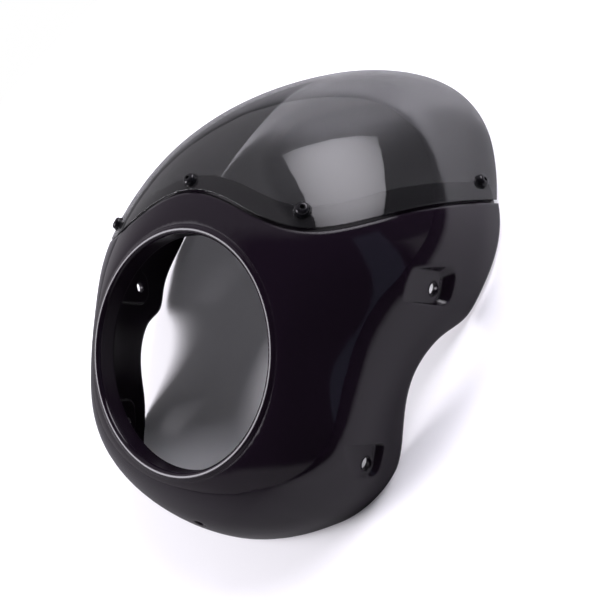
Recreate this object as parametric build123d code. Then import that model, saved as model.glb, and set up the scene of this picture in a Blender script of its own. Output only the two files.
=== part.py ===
from build123d import *
import os
import numpy as np

# Headlight cowl for a motorcycle: a moulded shell with a rolled lamp opening and a smoked bubble screen.
# Millimetres. The lamp axis is Y, the front faces -Y and Z is up. The origin is the centre of the lamp
# opening, where the lip's rounding meets the straight bore. Depths below are from the crest of the lip.

# Lamp opening: a rolled bead round the bore, standing proud of the skin that starts beside it
BORE_RADIUS = 79.5
LIP_ROUND = 3.0
LIP_PROUD = 1.6
LIP_FOOT = 1.2
SKIN_START = 86.0
RETURN_DEPTH = 15.0

# Walls
WALL = 3.2
SHEET = 3.0
SEAT_WALL = 3.0

# The skin: each radial cut, from the chin (-90 degrees) round to the crown (90), is a quarter curve that
# leaves the lip square to the lamp axis and ends parallel to it, at its reach and depth.
CUT_ANGLE = [-90, -60, -35, -15, 5, 25, 45, 65, 90]
CUT_REACH = [138, 141, 146, 133, 147.5, 179.5, 210, 262, 297]
CUT_DEPTH = [90, 89, 98, 92, 148, 150, 200, 365, 518]
CURVE_ANGLE = [-90, -30, 15, 50, 90]
CURVE_POWER = [0.765, 0.575, 0.75, 0.64, 0.545]
SKIN_DEPTH = 206.0
SECTIONS = 15
SECTION_POINTS = 36

# Rear edge of the shell in side view: depth, height
REAR_EDGE = [
    (158, 135),
    (158, 101),
    (144, 72),
    (132, 48),
    (123.5, 31),
    (104, 18),
    (93, 6),
    (86.5, -8),
    (84.5, -26),
    (87, -54),
    (85.5, -71),
    (78, -94),
    (67, -122),
    (66, -160),
]

# Parting line of shell and screen: bearing round an upright axis from the front, height
PIVOT_DEPTH = 90.0
PARTING = [(0, 107.2), (26, 97.5), (51.5, 78.4), (76, 91.6), (103, 109), (132, 118)]
PARTING_GAP = 2.6
SEAT_WIDTH = [(0, 13.5), (35, 18), (60, 17), (90, 16.5), (112, 14), (132, 12)]
SEAT_LAP = 8.0
SEAT_TOP = 131.0
SCREEN_FOOT = 70.0

# Free edge of the screen: angle round the lamp axis, depth
FREE_EDGE = [(20, 130), (36, 160), (50, 189.5), (62, 198.5), (72, 192.5), (81, 178), (90, 168)]

# Screen fastenings, right-hand side: angle round the lamp axis, depth
SCREW_PLACES = [(90, 9.0), (46.7, 20.8), (39.8, 142.0)]
SCREW_SIZE = 5.0
SCREW_CLEARANCE = 5.6
HEAD_DIAMETER = 9.5
HEAD_HEIGHT = 3.0
HEAD_ROUND = 2.4
SOCKET_ACROSS = 3.0
SOCKET_DEPTH = 1.8
SCREW_LENGTH = 12.0
WASHER_DIAMETER = 10.5
WASHER_BORE = 5.3
WASHER_THICKNESS = 1.5
NUT_ACROSS = 8.0
NUT_HEIGHT = 4.0
SEAT_DIAMETER = 11.5
SEAT_CUT = 0.3

# Bracket recesses, right-hand side: hole place, turn and tip of the floor in degrees, and the reach of
# the floor from the hole with the slope of its wall for the rear, the top and the bottom. The floor runs
# out forward.
BRACKET_HOLE = 9.0
PAD_WALL = 4.4
UPPER_PAD = dict(
    place=(144.1, 89.7, 47.6),
    turn=-11.2,
    tip=-10.1,
    rear=(7.3, 40),
    top=(11.8, 40),
    bottom=(9.5, 5),
)
LOWER_PAD = dict(
    place=(116.9, 58.7, -65.0),
    turn=-10,
    tip=-6.9,
    rear=(6.1, 38),
    top=(13.7, 4),
    bottom=(7.5, 35),
)
UPPER_CORNERS = (9.0, 8.0)
LOWER_CORNERS = (3.0, 7.0)
PAD_FORWARD = 42.0
PAD_OUT = 16.0

# Chin drain hole
CHIN_DEPTH = 32.0
CHIN_HOLE = 9.0


def smooth(places, values):
    """A cubic through the values with level ends, as a function of the place."""
    x = np.array(places, float)
    y = np.array(values, float)
    h = np.diff(x)
    n = len(x)
    a = np.zeros((n, n))
    b = np.zeros(n)
    a[0, 0] = 1
    a[-1, -1] = 1
    for i in range(1, n - 1):
        a[i, i - 1] = h[i]
        a[i, i] = 2 * (h[i - 1] + h[i])
        a[i, i + 1] = h[i - 1]
        b[i] = 3 * (h[i] * (y[i] - y[i - 1]) / h[i - 1] + h[i - 1] * (y[i + 1] - y[i]) / h[i])
    slope = np.linalg.solve(a, b)

    def value(at):
        i = np.clip(np.searchsorted(x, at) - 1, 0, n - 2)
        t = (at - x[i]) / h[i]
        start = (1 + 2 * t) * (1 - t) ** 2 * y[i] + t * (1 - t) ** 2 * h[i] * slope[i]
        end = t**2 * (3 - 2 * t) * y[i + 1] + t**2 * (t - 1) * h[i] * slope[i + 1]
        return start + end

    return value


reach_at = smooth(CUT_ANGLE, CUT_REACH)
depth_at = smooth(CUT_ANGLE, CUT_DEPTH)
power_at = smooth(CURVE_ANGLE, CURVE_POWER)


def fold(angle):
    """The angle of the same radial cut on the right-hand side."""
    return 90 - np.abs((np.asarray(angle, float) - 90 + 180) % 360 - 180)


def skin_radius(angle, depth):
    """Distance of the skin from the lamp axis."""
    a = fold(angle)
    t = np.clip((depth - LIP_PROUD) / (depth_at(a) - LIP_PROUD), 0, 1)
    return SKIN_START + (reach_at(a) - SKIN_START) * (1 - (1 - t) ** 2) ** power_at(a)


def skin_point(angle, depth):
    r = skin_radius(angle, depth)
    c = np.radians(angle)
    return np.array([r * np.cos(c), depth, r * np.sin(c)])


def skin_normal(angle, depth):
    """Outward normal of the skin."""
    around = skin_point(angle + 0.1, depth) - skin_point(angle - 0.1, depth)
    back = skin_point(angle, depth + 0.05) - skin_point(angle, depth - 0.05)
    n = np.cross(around, back)
    n = n / np.linalg.norm(n)
    outward = skin_point(angle, depth) - np.array([0, depth + 40, 0])
    return n if n @ outward > 0 else -n


def inset_radius(angle, depth, inset):
    """Distance from the lamp axis of the surface that lies inside the skin by the inset."""
    d = LIP_PROUD + SKIN_DEPTH * 1.1 * np.linspace(0, 1, 900) ** 2
    r = skin_radius(angle, d)
    lean = (skin_radius(angle + 0.5, d) - skin_radius(angle - 0.5, d)) / np.radians(1) / r
    dr = np.gradient(r, np.arange(len(d)))
    dd = np.gradient(d, np.arange(len(d)))
    size = np.hypot(dr, dd)
    step = inset * np.sqrt(1 + (lean * dd / size) ** 2)
    inner_r = r - step * dd / size
    inner_d = d + step * dr / size
    inner_d[0] = LIP_PROUD + inset
    inner_r[0] = SKIN_START
    order = np.argsort(inner_d)
    return np.interp(depth, inner_d[order], inner_r[order])


def skin_form(inset):
    """The solid inside the skin, or inside the surface that lies in from it by the inset."""
    wires = []
    start = LIP_PROUD + inset
    for depth in start + (SKIN_DEPTH - LIP_PROUD) * np.linspace(0, 1, SECTIONS) ** 2:
        angles = np.linspace(-50, 310, SECTION_POINTS, endpoint=False)
        if depth == start:
            radii = np.full(SECTION_POINTS, SKIN_START)
        elif inset:
            radii = [inset_radius(a, depth, inset) for a in angles]
        else:
            radii = skin_radius(angles, depth)
        rays = np.radians(angles)
        points = [Vector(r * np.cos(a), depth, r * np.sin(a)) for r, a in zip(radii, rays)]
        wires.append(Wire([Edge.make_spline(points, periodic=True)]))
    return Solid.make_loft(wires)


def upright_curtain(line, rise, way=1):
    """The space over a line of bearings and heights, or under it, cut square to the shell's sides."""
    bearings = np.radians([-b for b, z in reversed(line[1:])] + [b for b, z in line])
    heights = [z for b, z in reversed(line[1:])] + [z for b, z in line]
    rails = []
    for reach in (35, 260):
        points = [
            Vector(reach * np.sin(b), PIVOT_DEPTH - reach * np.cos(b), z + rise)
            for b, z in zip(bearings, heights)
        ]
        rails.append(Edge.make_spline(points))
    return Solid.extrude(Face.make_surface_from_curves(*rails), Vector(0, 0, 300 * way))


def lifted(line, widths):
    """A parting line raised by a width that varies along it."""
    bearings = sorted({b for b, z in line} | {b for b, w in widths})
    height = smooth([b for b, z in line], [z for b, z in line])
    width = smooth([b for b, w in widths], [w for b, w in widths])
    return [(b, float(height(b) + width(b))) for b in bearings]


def radial_curtain(line):
    """The space behind a line of angles and depths, cut square to the screen."""
    angles = np.radians([a for a, d in line] + [180 - a for a, d in reversed(line[:-1])])
    depths = [d for a, d in line] + [d for a, d in reversed(line[:-1])]
    rails = []
    for reach in (60, 340):
        points = [Vector(reach * np.cos(a), d, reach * np.sin(a)) for a, d in zip(angles, depths)]
        rails.append(Edge.make_spline(points))
    return Solid.extrude(Face.make_surface_from_curves(*rails), Vector(0, 260, 0))


def behind(line):
    """The space behind an edge drawn in side view."""
    curve = Spline(*line)
    sides = Polyline(line[-1], (300, line[-1][1]), (300, line[0][1]), line[0])
    return extrude(Plane.YZ * make_face(curve + sides), 250, both=True)


def lamp_ring(radius, start, end):
    """A plain cylinder on the lamp axis."""
    return Pos(0, (start + end) / 2, 0) * Rot(90, 0, 0) * Cylinder(radius, end - start)


def slab(height, way):
    """All space above a height, or below it."""
    return Pos(0, 100, height + 200 * way) * Box(600, 600, 400)


def both_sides(shape):
    return [shape, mirror(shape, Plane.YZ)]


def pad_plane(pad):
    """The floor of a recess: X runs back, Y up and Z out."""
    turn = np.radians(pad["turn"])
    tip = np.radians(pad["tip"])
    facing = (np.cos(turn) * np.cos(tip), np.sin(turn) * np.cos(tip), np.sin(tip))
    return Plane(origin=pad["place"], x_dir=(-facing[1], facing[0], 0), z_dir=facing)


def pad_outline(pad, corners, height, grow):
    """The outline of a recess at a height over its floor, open in front."""
    reaches = []
    for reach, slope in (pad["rear"], pad["top"], pad["bottom"]):
        reaches.append(reach + grow + height * np.tan(np.radians(slope)))
    rear, top, bottom = reaches
    front = -PAD_FORWARD
    face = make_face(Polyline((front, -bottom), (rear, -bottom), (rear, top), (front, top), close=True))
    upper, lower = corners
    face = fillet(face.vertices().sort_by(Axis.X)[-2:].sort_by(Axis.Y)[-1], upper + grow)
    return fillet(face.vertices().sort_by(Axis.Y)[:2].sort_by(Axis.X)[-1], lower + grow)


def pad_form(pad, corners, grow):
    """A recess with a flat floor and sloping walls, grown and sunk by a wall for its backing."""
    low = Pos(0, 0, -grow) * pad_outline(pad, corners, 0, grow)
    high = Pos(0, 0, PAD_OUT) * pad_outline(pad, corners, PAD_OUT, grow)
    return pad_plane(pad) * loft([low, high], ruled=True)


def pad_hole(pad):
    return pad_plane(pad) * Cylinder(BRACKET_HOLE / 2, 30)


def fastening_planes():
    """The plane of each washer's seat on the screen, facing out along the screw."""
    planes = []
    for angle, depth in SCREW_PLACES:
        for side in {angle, 180 - angle}:
            n = skin_normal(side, depth)
            at = skin_point(side, depth) - SEAT_CUT * n
            planes.append(Plane(origin=tuple(at), z_dir=tuple(n), x_dir=tuple(np.cross([0, 1, 0.3], n))))
    return planes


outer = skin_form(0)
backing = skin_form(WALL / 2)
under_sheet = skin_form(SHEET)
fastenings = fastening_planes()

# Shell wall, thickened inside along the parting line
wall = outer - skin_form(WALL)
wall = wall - behind(REAR_EDGE)
wall = wall - slab(SEAT_TOP, 1)
seat = backing - skin_form(SHEET + SEAT_WALL)
seat = seat - slab(SCREEN_FOOT - SEAT_LAP, -1)
seat = seat - slab(SEAT_TOP + 20, 1)
seat = seat - upright_curtain(PARTING, -SEAT_LAP, -1)
body = wall + seat
body = body - behind(REAR_EDGE)
body = body - slab(SEAT_TOP, 1)

# Sunk seat for the screen above the parting line
body = body - upright_curtain(lifted(PARTING, SEAT_WIDTH), 0)
step = upright_curtain(PARTING, 0) - under_sheet
body = body - step

# Rolled lip and return flange of the lamp opening
bead = BORE_RADIUS + LIP_ROUND
crown = Edge.make_circle(LIP_ROUND, Plane((bead, LIP_ROUND)), start_angle=180, end_angle=345)
rear = [(bead, RETURN_DEPTH / 2), (bead, RETURN_DEPTH), (BORE_RADIUS, RETURN_DEPTH)]
flange = Polyline(crown @ 1, *rear, crown @ 0)
lip = revolve(make_face(crown + flange), Axis.Y)
body = body - lamp_ring(bead - LIP_ROUND / 4, -20, RETURN_DEPTH + 20)
body = body + lip

# Bracket recesses with their holes
for pad, corners in ((UPPER_PAD, UPPER_CORNERS), (LOWER_PAD, LOWER_CORNERS)):
    for side in both_sides(pad_form(pad, corners, PAD_WALL) & backing):
        body = body + side
    for side in both_sides(pad_form(pad, corners, 0) + pad_hole(pad)):
        body = body - side

# Drain hole in the chin, and the screw holes with flats for the nuts
chin = Plane(origin=tuple(skin_point(-90, CHIN_DEPTH)), z_dir=tuple(skin_normal(-90, CHIN_DEPTH)))
body = body - chin * Cylinder(CHIN_HOLE / 2, 20)
stack = SHEET + SEAT_WALL - 2 * SEAT_CUT
for plane in fastenings:
    body = body - plane * Cylinder(SCREW_CLEARANCE / 2, 30)
    body = body - plane * Pos(0, 0, -stack - 5) * Cylinder(SEAT_DIAMETER / 2, 10)

foot = [e for e in body.edges().filter_by(GeomType.CIRCLE) if abs(e.center().Y - LIP_PROUD) < 0.01]
body = body.fillet(LIP_FOOT, [e for e in foot if BORE_RADIUS < e.radius < SKIN_START - 0.1])

# Screen: the skin above the parting line, cut at its free edge
screen = outer - under_sheet
screen = screen - slab(SCREEN_FOOT, -1) - upright_curtain(PARTING, PARTING_GAP, -1)
screen = screen - radial_curtain(FREE_EDGE)
for plane in fastenings:
    screen = screen - plane * Cylinder(SCREW_CLEARANCE / 2, 30)
    screen = screen - plane * Pos(0, 0, 5) * Cylinder(SEAT_DIAMETER / 2, 10)

# Fastenings
shank = extrude(Circle(SCREW_SIZE / 2), -SCREW_LENGTH)
head = extrude(Circle(HEAD_DIAMETER / 2), HEAD_HEIGHT)
head = fillet(head.edges().sort_by(Axis.Z)[-1], HEAD_ROUND)
socket = extrude(RegularPolygon(SOCKET_ACROSS / 2, 6, major_radius=False), SOCKET_DEPTH)
screw = Pos(0, 0, WASHER_THICKNESS) * (head + shank - Pos(0, 0, HEAD_HEIGHT - SOCKET_DEPTH) * socket)
washer = extrude(Circle(WASHER_DIAMETER / 2) - Circle(WASHER_BORE / 2), WASHER_THICKNESS)
nut = extrude(RegularPolygon(NUT_ACROSS / 2, 6, major_radius=False) - Circle(SCREW_SIZE / 2), NUT_HEIGHT)
nut = Pos(0, 0, -stack - NUT_HEIGHT) * nut

nodes = dict(
    cowl_body=body,
    windscreen=screen,
    screen_screws=Compound([plane * screw for plane in fastenings]),
    screen_washers=Compound([plane * washer for plane in fastenings]),
    screen_nuts=Compound([plane * nut for plane in fastenings]),
)
os.makedirs("parts", exist_ok=True)
for name, shape in nodes.items():
    export_step(Pos(0, -LIP_ROUND, 0) * shape, f"parts/{name}.step")
    print(name, shape.is_valid, len(shape.solids()), round(shape.volume / 1000, 2))
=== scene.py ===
import math

import bpy
import numpy as np
from mathutils import Matrix, Vector

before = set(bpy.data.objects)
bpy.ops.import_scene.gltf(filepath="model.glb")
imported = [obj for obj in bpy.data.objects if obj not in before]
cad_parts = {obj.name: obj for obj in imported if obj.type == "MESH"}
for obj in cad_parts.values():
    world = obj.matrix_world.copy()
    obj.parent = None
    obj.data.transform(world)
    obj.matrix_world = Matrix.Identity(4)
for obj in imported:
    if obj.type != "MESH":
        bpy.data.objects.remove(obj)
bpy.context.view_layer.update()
scene = bpy.context.scene
scene.view_settings.view_transform = "Standard"

# Lengths are in metres, apart from the lens in millimetres. Angles are in degrees, and a bearing is counted from
# the front towards +X.

# Viewpoint of the photograph
EYE = (0.3603, -0.3480, 0.0222)
TURN = 36.7
TILT = -1.8
ROLL = 2.2
LENS = 44.22
NEAR_CLIP = 0.01

# The table that the cowl lies on with its rear edge: its depth at zero height, how far it leans back per metre of
# height, half its side, and the distances from the origin between which it fades into the room
TABLE_DEPTH = 0.1135
TABLE_LEAN = 0.437
TABLE_HALF = 2.5
TABLE_FADE = (0.5, 0.8)

# Edge radius of the shell in shading: on the lamp lip, outside it, and the distances from the lamp axis between
# which it changes
LIP_EDGE = 0.0014
OUTER_EDGE = 0.0030
EDGE_CHANGE = (0.088, 0.094)

# Height of the long wave in a moulded surface
WAVE_HEIGHT = 0.001

# Share of the light that one face of the smoked sheet stops: seen straight on, seen aslant, and for the light that
# goes to or comes from dull surfaces
SHEET_STRAIGHT = 0.60
SHEET_ASLANT = 0.78
SHEET_SHADE = 0.735

# Faint lilac cast of the lights, and the stronger one of the overhead fill
LIGHT_TINT = (1.0, 0.97, 1.045)
FILL_TINT = (0.99, 0.965, 1.09)

# Dark front of the room, an ellipse in bearing and elevation: its middle, its half axes, the squared radii between
# which its rim is soft, and its level
FRONT_CENTRE = (30, -5)
FRONT_HALF = (72, 47)
FRONT_RIM = (0.86, 1.14)
FRONT_LEVEL = 0.08

# Bluish pane in the room, in slanted bearing and elevation: its middle, its half sides, where they end in a soft
# rim, how far its bearing drops per degree of elevation, and its level
PANE_CENTRE = (86.3, 11)
PANE_HALF = (7, 24)
PANE_END = (10, 28)
PANE_SLANT = 0.575
PANE_LEVEL = 0.20


def node_maker(tree):
    """Returns a function that adds nodes to a tree."""

    def add(kind, inputs=(), **settings):
        """Adds one node. An input that is a socket is linked, any other is set as a value."""
        node = tree.nodes.new(kind)
        for key, value in settings.items():
            setattr(node, key, value)
        for key, value in dict(inputs).items():
            if isinstance(value, bpy.types.NodeSocket):
                tree.links.new(value, node.inputs[key])
            else:
                node.inputs[key].default_value = value
        return node

    return add


def calc(add, operation, *values):
    """One step of arithmetic on sockets or numbers."""
    return add("ShaderNodeMath", dict(enumerate(values)), operation=operation).outputs[0]


def ramp(add, value, start, end, low=0.0, high=1.0, curve="LINEAR"):
    """Carries a value from the range start to end over to the range low to high, and holds it beyond the ends."""
    inputs = {"Value": value, "From Min": start, "From Max": end, "To Min": low, "To Max": high}
    return add("ShaderNodeMapRange", inputs, interpolation_type=curve).outputs[0]


def mix(add, factor, first, second, kind="FLOAT"):
    """The first value at factor 0, the second at factor 1, and a straight line between them."""
    return add("ShaderNodeMix", {"Factor": factor, "A": first, "B": second}, data_type=kind).outputs["Result"]


def noise(add, scale, detail, roughness=0.5):
    """Soft noise in the object's own coordinates, from 0 to 1. The scale is about the cells per metre."""
    place = add("ShaderNodeTexCoord").outputs["Object"]
    inputs = {"Vector": place, "Scale": scale, "Detail": detail, "Roughness": roughness}
    return add("ShaderNodeTexNoise", inputs).outputs["Fac"]


def distance(add, place):
    """Length of a vector."""
    return add("ShaderNodeVectorMath", {0: place}, operation="LENGTH").outputs["Value"]


def new_material(name):
    """An empty node material and its node maker."""
    material = bpy.data.materials.new(name)
    material.use_nodes = True
    material.node_tree.nodes.clear()
    return material, node_maker(material.node_tree)


def set_surface(add, shader):
    """Makes a shader the surface of the material."""
    add("ShaderNodeOutputMaterial", {"Surface": shader.outputs[0]})


def moulded_surface_group():
    """Shared finish of a moulded or formed surface. The roughness is the gloss plus the haze times the sum of soft
    patches of handling and fine specks of dust. The height is a faint long wave."""
    group = bpy.data.node_groups.new("moulded_surface", "ShaderNodeTree")
    for name, direction in (("Gloss", "INPUT"), ("Haze", "INPUT"), ("Roughness", "OUTPUT"), ("Height", "OUTPUT")):
        group.interface.new_socket(name, in_out=direction, socket_type="NodeSocketFloat")
    add = node_maker(group)
    given = add("NodeGroupInput").outputs
    wave = noise(add, scale=22.0, detail=1.0)
    patches = ramp(add, noise(add, scale=9.0, detail=4.0, roughness=0.6), start=0.4, end=0.7)
    specks = ramp(add, noise(add, scale=900.0, detail=1.0), start=0.68, end=0.8)
    lift = calc(add, "MULTIPLY", calc(add, "ADD", patches, specks), given["Haze"])
    add("NodeGroupOutput", {"Roughness": calc(add, "ADD", lift, given["Gloss"]), "Height": wave})
    return group


moulded_surface = moulded_surface_group()


def moulded_finish(add, gloss, haze, wave, edge):
    """The shared finish placed in a material: its roughness, and a normal that is rounded at the edges and then
    bumped by the wave. The edge radius is a number or a socket."""
    finish = add("ShaderNodeGroup", {"Gloss": gloss, "Haze": haze}, node_tree=moulded_surface).outputs
    rounded = add("ShaderNodeBevel", {"Radius": edge}, samples=6).outputs[0]
    bump = add(
        "ShaderNodeBump",
        {"Height": finish["Height"], "Strength": wave, "Distance": WAVE_HEIGHT, "Normal": rounded},
    )
    return finish["Roughness"], bump.outputs[0]


def shell_edge(add):
    """Edge radius of the shell: small on the lamp lip and larger on the edges farther from the lamp axis."""
    place = add("ShaderNodeTexCoord").outputs["Object"]
    flat = add("ShaderNodeVectorMath", {0: place, 1: (1, 0, 1)}, operation="MULTIPLY").outputs[0]
    return ramp(add, distance(add, flat), *EDGE_CHANGE, LIP_EDGE, OUTER_EDGE)


def gloss_black():
    """Polished black moulding: near-black body colour under a clear mirror gloss, with softened edges."""
    material, add = new_material("gloss_black")
    roughness, normal = moulded_finish(add, gloss=0.03, haze=0.03, wave=0.04, edge=shell_edge(add))
    shader = add(
        "ShaderNodeBsdfPrincipled",
        {"Base Color": (0.0053, 0.0029, 0.0060, 1), "Roughness": roughness, "IOR": 1.5, "Normal": normal},
    )
    set_surface(add, shader)
    return material


def smoked_sheet():
    """Smoked clear sheet: each face stops part of the light, and more of it where the sheet is seen aslant. For
    light to or from dull surfaces the share is the same at every angle."""
    material, add = new_material("smoked_sheet")
    roughness, normal = moulded_finish(add, gloss=0.02, haze=0.012, wave=0.08, edge=0.0008)
    aslant = add("ShaderNodeLayerWeight", {"Blend": 0.5}).outputs["Facing"]
    seen = ramp(add, aslant, start=0.1, end=1.0, low=SHEET_STRAIGHT, high=SHEET_ASLANT)
    path = add("ShaderNodeLightPath").outputs
    shading = calc(add, "MAXIMUM", path["Is Shadow Ray"], path["Is Diffuse Ray"])
    shader = add(
        "ShaderNodeBsdfPrincipled",
        {
            "Base Color": (0.012, 0.012, 0.0125, 1),
            "Roughness": roughness,
            "IOR": 1.49,
            "Specular IOR Level": 0.8,
            "Alpha": mix(add, shading, seen, SHEET_SHADE),
            "Normal": normal,
        },
    )
    set_surface(add, shader)
    return material


def black_steel():
    """Black oxide on steel: dark metal with a fine mottle in its colour and gloss."""
    material, add = new_material("black_steel")
    mottle = noise(add, scale=1400.0, detail=3.0)
    shader = add(
        "ShaderNodeBsdfPrincipled",
        {
            "Base Color": mix(add, mottle, (0.004, 0.004, 0.005, 1), (0.010, 0.009, 0.011, 1), "RGBA"),
            "Metallic": 0.25,
            "Roughness": ramp(add, mottle, start=0.0, end=1.0, low=0.08, high=0.2),
            "Normal": add("ShaderNodeBevel", {"Radius": 0.0004}, samples=4).outputs[0],
        },
    )
    set_surface(add, shader)
    return material


def black_nylon():
    """Moulded nylon: satin black with a fine grain in its gloss and height."""
    material, add = new_material("black_nylon")
    grain = noise(add, scale=2500.0, detail=2.0)
    shader = add(
        "ShaderNodeBsdfPrincipled",
        {
            "Base Color": (0.005, 0.005, 0.006, 1),
            "Roughness": ramp(add, grain, start=0.0, end=1.0, low=0.16, high=0.3),
            "Normal": add("ShaderNodeBump", {"Height": grain, "Strength": 0.1, "Distance": 0.0001}).outputs[0],
        },
    )
    set_surface(add, shader)
    return material


def plain_steel():
    """Zinc-plated steel: pale metal with a cloudy gloss."""
    material, add = new_material("plain_steel")
    cloud = noise(add, scale=300.0, detail=4.0)
    shader = add(
        "ShaderNodeBsdfPrincipled",
        {
            "Base Color": (0.52, 0.53, 0.54, 1),
            "Metallic": 1.0,
            "Roughness": ramp(add, cloud, start=0.0, end=1.0, low=0.22, high=0.42),
        },
    )
    set_surface(add, shader)
    return material


def dress(node, material):
    """Gives a CAD node its material."""
    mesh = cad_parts[node].data
    mesh.materials.clear()
    mesh.materials.append(material)


dress("cowl_body", gloss_black())
dress("windscreen", smoked_sheet())
dress("screen_screws", black_steel())
dress("screen_washers", black_nylon())
dress("screen_nuts", plain_steel())


def table_white():
    """White table top that shows only from the side that the cowl lies on. In reflections its colour is a painted
    reflection level instead of its white: a grey that rises with X under the cowl, times one that falls beyond its
    right side. Seen directly, it fades into the white of the room away from the cowl."""
    material, add = new_material("table_white")
    geometry = add("ShaderNodeNewGeometry").outputs
    path = add("ShaderNodeLightPath").outputs
    side = add("ShaderNodeSeparateXYZ", {0: geometry["Position"]}).outputs["X"]
    # Painted reflection: for glossy rays the table takes this grey, which rises with X and falls beyond the cowl's
    # right side, to set how bright the shell mirrors it
    rise = ramp(add, side, start=0.0, end=0.2, low=0.17, high=0.40)
    fall = ramp(add, side, start=0.36, end=0.48, low=1.0, high=0.05)
    grey = calc(add, "MULTIPLY", rise, fall)
    colour = mix(add, path["Is Glossy Ray"], (0.86, 0.86, 0.86, 1), grey, "RGBA")
    white = add("ShaderNodeBsdfDiffuse", {"Color": colour}).outputs[0]
    room = add("ShaderNodeEmission", {"Color": (1, 1, 1, 1)}).outputs[0]
    far = ramp(add, distance(add, geometry["Position"]), *TABLE_FADE)
    fade = calc(add, "MULTIPLY", path["Is Camera Ray"], far)
    front = add("ShaderNodeMixShader", {0: fade, 1: white, 2: room}).outputs[0]
    back = add("ShaderNodeBsdfTransparent").outputs[0]
    set_surface(add, add("ShaderNodeMixShader", {0: geometry["Backfacing"], 1: front, 2: back}))
    return material


def lay_table():
    """A flat square that the cowl lies on: its corners are its centre plus or minus half its side across and half
    its side up the lean."""
    centre = np.array([0, TABLE_DEPTH, 0])
    across = np.array([TABLE_HALF, 0, 0])
    along = TABLE_HALF * np.array([0, TABLE_LEAN, 1.0]) / math.hypot(TABLE_LEAN, 1.0)
    corners = np.array(
        [centre - across - along, centre + across - along, centre + across + along, centre - across + along]
    )
    mesh = bpy.data.meshes.new("table")
    mesh.from_pydata(corners.tolist(), [], [(0, 1, 2, 3)])
    mesh.materials.append(table_white())
    plane = bpy.data.objects.new("table", mesh)
    scene.collection.objects.link(plane)


lay_table()


def lamp(name, centre, target, width, height, radiance, lights="all", tint=LIGHT_TINT):
    """A rectangular soft light: its power is its radiance times pi times its area. It lights all, only what is
    dull, or only what mirrors it."""
    data = bpy.data.lights.new(name, "AREA")
    data.shape = "RECTANGLE"
    data.size = width
    data.size_y = height
    data.energy = radiance * math.pi * width * height
    data.color = tint
    light = bpy.data.objects.new(name, data)
    scene.collection.objects.link(light)
    away = (Vector(centre) - Vector(target)).normalized()
    light.matrix_world = Matrix.Translation(centre) @ away.to_track_quat("Z", "Y").to_matrix().to_4x4()
    light.visible_camera = False
    light.visible_glossy = lights != "dull"
    light.visible_diffuse = lights != "mirror"
    return light


def hot_centre(light, peak, fall):
    """Makes a soft light brightest in its middle: the peak less the fall times the squared distance from there,
    and never below zero."""
    light.data.use_nodes = True
    tree = light.data.node_tree
    add = node_maker(tree)
    place = add("ShaderNodeNewGeometry").outputs["Parametric"]
    off = add("ShaderNodeVectorMath", {0: place, 1: (0.5, 0.5, 0.0)}, operation="SUBTRACT").outputs[0]
    square = add("ShaderNodeVectorMath", {0: off, 1: off}, operation="DOT_PRODUCT").outputs["Value"]
    level = calc(add, "MAXIMUM", calc(add, "MULTIPLY_ADD", square, -fall, peak), 0.0)
    tree.links.new(level, tree.nodes["Emission"].inputs["Strength"])


softbox = lamp(
    "overhead_softbox",
    centre=(0.35, -0.14, 0.87),
    target=(0.10, 0.04, 0.10),
    width=0.54,
    height=0.70,
    radiance=4.4,
)
lamp(
    "overhead_fill",
    centre=(0.20, -0.25, 1.30),
    target=(0.10, 0.10, 0.0),
    width=1.0,
    height=1.0,
    radiance=7.5,
    lights="dull",
    tint=FILL_TINT,
)
lamp(
    "right_fill",
    centre=(0.95, -0.30, -0.30),
    target=(0.25, 0.10, -0.10),
    width=0.5,
    height=0.5,
    radiance=3.0,
    lights="dull",
)
lamp(
    "left_key",
    centre=(-1.07, -1.14, -0.11),
    target=(0, 0.05, 0.0),
    width=0.85,
    height=0.85,
    radiance=16.0,
    lights="dull",
)
glint = lamp(
    "left_glint",
    centre=(-1.02, -1.08, -0.10),
    target=(0, 0.05, 0.0),
    width=1.1,
    height=1.1,
    radiance=8.0,
    lights="mirror",
)
hot_centre(softbox, peak=1.3, fall=2.2)
hot_centre(glint, peak=1.3, fall=5.6)


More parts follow.
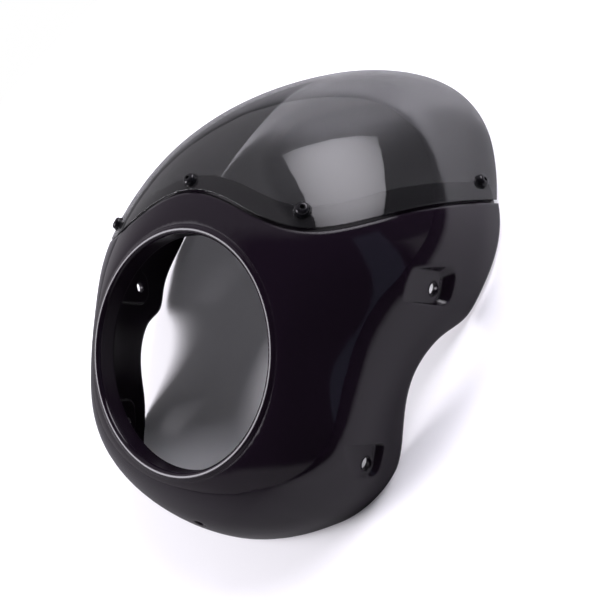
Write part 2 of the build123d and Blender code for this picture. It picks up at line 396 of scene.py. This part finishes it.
def studio_world():
    """Soft grey room, plain white where it is seen directly. Otherwise its level is that of the bright left times
    the lower one of the dark front and the dark top, and a faint bluish pane is added."""
    world = bpy.data.worlds.new("studio")
    world.use_nodes = True
    world.node_tree.nodes.clear()
    add = node_maker(world.node_tree)
    way = add("ShaderNodeTexCoord").outputs["Generated"]
    split = add("ShaderNodeSeparateXYZ", {0: way}).outputs
    bearing = calc(add, "ARCTAN2", split["X"], calc(add, "MULTIPLY", split["Y"], -1.0))
    elevation = calc(add, "ARCSINE", split["Z"])

    def soft(value, start, end, low, high):
        """A ramp that starts and ends gently."""
        return ramp(add, value, start, end, low, high, curve="SMOOTHSTEP")

    def past(angle, degrees):
        """How far an angle is past a number of degrees."""
        return calc(add, "SUBTRACT", angle, math.radians(degrees))

    def squared(angle, centre, half):
        """Square of an angle's distance from a centre, in units of a half axis."""
        ratio = calc(add, "DIVIDE", past(angle, centre), math.radians(half))
        return calc(add, "MULTIPLY", ratio, ratio)

    def band(angle, centre, half, end, level):
        """A level within a half width of a centre that falls to zero at the end."""
        off = calc(add, "ABSOLUTE", past(angle, centre))
        return soft(off, math.radians(half), math.radians(end), level, 0.0)

    def cap(turn, rise, rim, core, outside, inside):
        """A round patch about a direction, by the cosine of the angle from it: one level outside the rim and
        another inside the core."""
        t, r = math.radians(turn), math.radians(rise)
        centre = (math.sin(t) * math.cos(r), -math.cos(t) * math.cos(r), math.sin(r))
        near = add("ShaderNodeVectorMath", {0: way, 1: centre}, operation="DOT_PRODUCT").outputs["Value"]
        return soft(near, math.cos(math.radians(rim)), math.cos(math.radians(core)), outside, inside)

    across = squared(bearing, FRONT_CENTRE[0], FRONT_HALF[0])
    upward = squared(elevation, FRONT_CENTRE[1], FRONT_HALF[1])
    front = soft(calc(add, "ADD", across, upward), *FRONT_RIM, FRONT_LEVEL, 1.0)
    top = cap(turn=85, rise=64, rim=45, core=38, outside=1.0, inside=0.12)
    left = cap(turn=-95, rise=-16, rim=60, core=10, outside=0.34, inside=0.64)
    level = calc(add, "MULTIPLY", left, calc(add, "MINIMUM", front, top))
    seen = add("ShaderNodeLightPath").outputs["Is Camera Ray"]
    grey = add("ShaderNodeBackground", {"Color": (0.98, 0.95, 1.01, 1), "Strength": mix(add, seen, level, 1.0)})

    slanted = calc(add, "MULTIPLY_ADD", elevation, PANE_SLANT, bearing)
    sides = band(slanted, PANE_CENTRE[0], PANE_HALF[0], PANE_END[0], PANE_LEVEL)
    ends = band(elevation, PANE_CENTRE[1], PANE_HALF[1], PANE_END[1], 1.0)
    pane = calc(add, "MULTIPLY", sides, ends)
    blue = add("ShaderNodeBackground", {"Color": (0.55, 0.72, 1.0, 1), "Strength": pane})
    both = add("ShaderNodeAddShader", {0: grey.outputs[0], 1: blue.outputs[0]})
    add("ShaderNodeOutputWorld", {"Surface": both.outputs[0]})
    scene.world = world


studio_world()


def photo_camera():
    """A camera at the photograph's viewpoint, turned round the upright, tilted and rolled."""
    a, e, r = (math.radians(x) for x in (TURN, TILT, ROLL))
    back = Vector((math.sin(a) * math.cos(e), -math.cos(a) * math.cos(e), math.sin(e)))
    level = Vector((math.cos(a), math.sin(a), 0))
    rise = back.cross(level)
    right = math.cos(r) * level + math.sin(r) * rise
    up = -math.sin(r) * level + math.cos(r) * rise
    data = bpy.data.cameras.new("camera")
    data.lens = LENS
    data.clip_start = NEAR_CLIP
    camera = bpy.data.objects.new("camera", data)
    scene.collection.objects.link(camera)
    camera.matrix_world = Matrix.Translation(EYE) @ Matrix((right, up, back)).transposed().to_4x4()
    scene.camera = camera


photo_camera()
